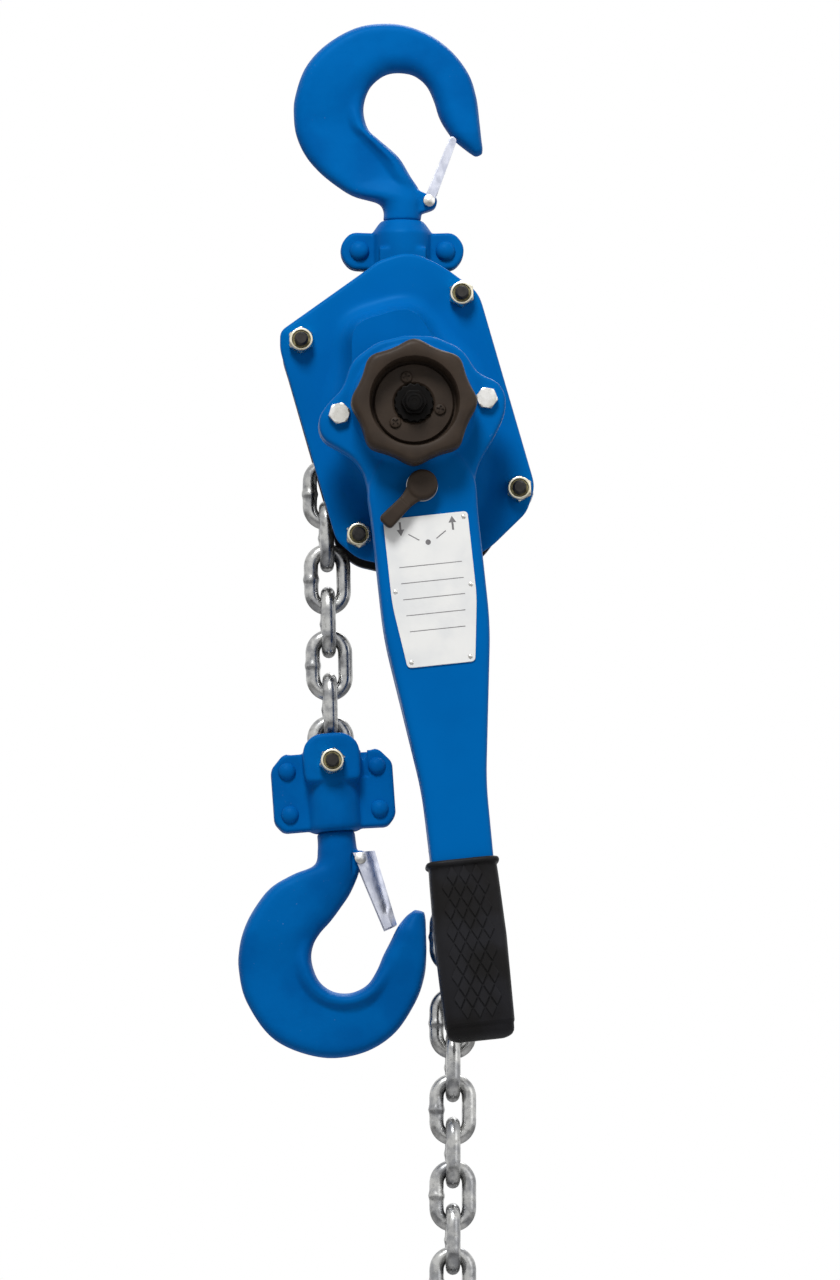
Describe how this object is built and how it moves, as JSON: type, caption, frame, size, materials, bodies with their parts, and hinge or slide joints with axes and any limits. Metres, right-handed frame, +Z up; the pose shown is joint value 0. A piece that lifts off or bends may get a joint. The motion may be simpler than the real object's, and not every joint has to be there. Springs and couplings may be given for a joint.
{
  "type": "lever chain hoist",
  "caption": "Lever chain hoist (come along winch): blue geared housing, ratchet lever with rubber grip, hand wheel, load chain, and a latched swivel hook at each end.",
  "frame": {"origin": "saddle of the top hook, the point from which the hoist hangs", "axes": "+Z up along the load line; -Y towards the hand wheel (front); +X to the right seen from the front"},
  "size_m": [0.165, 0.145, 0.77],
  "materials": {
    "blue_paint": "gloss enamel",
    "black_steel": "black oxide",
    "zinc_steel": "bright zinc plate",
    "yellow_zinc": "yellow zinc plate",
    "chain_steel": "bright drawn steel",
    "machined_steel": "machined",
    "wheel_black": "moulded, satin",
    "friction_lining": "pressed lining",
    "grip_rubber": "moulded diamonds",
    "plate_white": "printed plate"
  },
  "bodies": {
    "top_hook": {"top_hook": "blue_paint", "top_latch_pin": "zinc_steel"},
    "top_latch": {"top_latch": "zinc_steel"},
    "yoke": {"top_yoke_front": "blue_paint", "top_yoke_rear": "blue_paint", "top_rivet_left": "blue_paint", "top_rivet_right": "blue_paint"},
    "frame": {"top_pin": "machined_steel", "side_plate_front": "black_steel", "side_plate_rear": "black_steel", "brake_cover": "blue_paint", "gear_cover": "blue_paint", "stay_bolt_top_left": "black_steel", "stay_bolt_top_right": "black_steel", "stay_bolt_low_left": "black_steel", "stay_bolt_low_right": "black_steel", "stay_nut_top_left": "yellow_zinc", "stay_nut_top_right": "yellow_zinc", "stay_nut_low_left": "yellow_zinc", "stay_nut_low_right": "yellow_zinc", "chain_guide": "machined_steel", "chain_stripper": "machined_steel", "ratchet_disc": "machined_steel", "chain_over_sheave": "chain_steel"},
    "sheave": {"load_sheave": "machined_steel", "load_gear": "machined_steel"},
    "idler_upper": {"idler_gear_upper": "machined_steel"},
    "idler_lower": {"idler_gear_lower": "machined_steel"},
    "drive": {"drive_shaft": "machined_steel", "brake_hub": "machined_steel", "friction_disc_inner": "friction_lining", "friction_disc_outer": "friction_lining", "change_gear": "machined_steel", "handwheel": "wheel_black", "handwheel_disc": "wheel_black", "shaft_nut": "wheel_black"},
    "pawl_1": {"brake_pawl_1": "machined_steel"},
    "pawl_2": {"brake_pawl_2": "machined_steel"},
    "lever": {"lever_front_shell": "blue_paint", "lever_rear_shell": "blue_paint", "lever_bolt_left": "zinc_steel", "lever_bolt_right": "zinc_steel", "grip": "grip_rubber", "name_plate": "plate_white"},
    "selector": {"selector_knob": "wheel_black", "selector_pawl": "machined_steel"},
    "load_run": {"load_link_1": "chain_steel", "load_link_2": "chain_steel", "load_link_3": "chain_steel", "load_link_4": "chain_steel", "load_link_5": "chain_steel", "load_link_6": "chain_steel"},
    "slack_run": {"slack_chain": "chain_steel"},
    "bottom_block": {"bottom_yoke_front": "blue_paint", "bottom_yoke_rear": "blue_paint", "chain_pin": "black_steel", "chain_pin_nut": "yellow_zinc"},
    "bottom_hook": {"bottom_hook": "blue_paint", "bottom_latch_pin": "zinc_steel"},
    "bottom_latch": {"bottom_latch": "zinc_steel"}
  },
  "joints": [
    {"name": "top_hook_swivel", "type": "hinge", "parent": "top_hook", "child": "yoke", "pos_m": [0, 0, -0.0995], "axis": [0, 0, 1], "continuous": true},
    {"name": "top_latch_hinge", "type": "hinge", "parent": "top_hook", "child": "top_latch", "pos_m": [0.0148, 0, -0.0725], "axis": [0, 1, 0], "range_deg": [-25, 0], "stiffness_Nm_per_rad": 0.05, "springref_deg": 5.73},
    {"name": "frame_swing", "type": "hinge", "parent": "yoke", "child": "frame", "pos_m": [0, 0, -0.1205], "axis": [0, 1, 0], "range_deg": [-10, 25]},
    {"name": "sheave_turn", "type": "hinge", "parent": "frame", "child": "sheave", "pos_m": [0.0038, 0, -0.1955], "axis": [0, 1, 0], "range_deg": [-5, 65]},
    {"name": "idler_upper_turn", "type": "hinge", "parent": "frame", "child": "idler_upper", "pos_m": [-0.00636, 0, -0.16096], "axis": [0, 1, 0], "range_deg": [-130, 10]},
    {"name": "idler_lower_turn", "type": "hinge", "parent": "frame", "child": "idler_lower", "pos_m": [0.01396, 0, -0.23003], "axis": [0, 1, 0], "range_deg": [-130, 10]},
    {"name": "drive_turn", "type": "hinge", "parent": "frame", "child": "drive", "pos_m": [0.0038, 0, -0.1955], "axis": [0, 1, 0], "range_deg": [-10, 365]},
    {"name": "brake_pawl_1_hinge", "type": "hinge", "parent": "frame", "child": "pawl_1", "pos_m": [-0.00933, 0, -0.15089], "axis": [0, 1, 0], "range_deg": [0, 8], "stiffness_Nm_per_rad": 0.02, "springref_deg": -11.46},
    {"name": "brake_pawl_2_hinge", "type": "hinge", "parent": "frame", "child": "pawl_2", "pos_m": [0.01693, 0, -0.24011], "axis": [0, 1, 0], "range_deg": [0, 8], "stiffness_Nm_per_rad": 0.02, "springref_deg": -11.46},
    {"name": "lever_swing", "type": "hinge", "parent": "frame", "child": "lever", "pos_m": [0.0038, 0, -0.1955], "axis": [0, 1, 0], "continuous": true},
    {"name": "selector_turn", "type": "hinge", "parent": "lever", "child": "selector", "pos_m": [0.00866, 0, -0.24024], "axis": [0, 1, 0], "range_deg": [-100, 0]},
    {"name": "hoist", "type": "slide", "parent": "frame", "child": "load_run", "axis": [-0.0209, 0, 0.9998], "range_m": [0, 0.047], "deforming": ["chain_over_sheave"]},
    {"name": "slack_run_slide", "type": "slide", "parent": "frame", "child": "slack_run", "axis": [0, 0, 1], "range_m": [-0.048, 0.001]},
    {"name": "bottom_block_swing", "type": "hinge", "parent": "load_run", "child": "bottom_block", "pos_m": [-0.03939, 0, -0.38772], "axis": [0, 1, 0], "range_deg": [0, 30]},
    {"name": "bottom_hook_swivel", "type": "hinge", "parent": "bottom_block", "child": "bottom_hook", "pos_m": [-0.03702, 0, -0.42163], "axis": [-0.0698, 0, 0.9976], "range_deg": [-120, 120]},
    {"name": "bottom_latch_hinge", "type": "hinge", "parent": "bottom_hook", "child": "bottom_latch", "pos_m": [-0.02335, 0, -0.44073], "axis": [0, 1, 0], "range_deg": [0, 22], "stiffness_Nm_per_rad": 0.05, "springref_deg": -5.73}
  ],
  "couplings": [
    {"joint": "slack_run_slide", "follows": "hoist", "ratio": -1},
    {"joint": "sheave_turn", "follows": "hoist", "rad_per_m": 21.817},
    {"joint": "idler_upper_turn", "follows": "hoist", "rad_per_m": -43.633},
    {"joint": "idler_lower_turn", "follows": "hoist", "rad_per_m": -43.633},
    {"joint": "drive_turn", "follows": "hoist", "rad_per_m": 130.9}
  ]
}
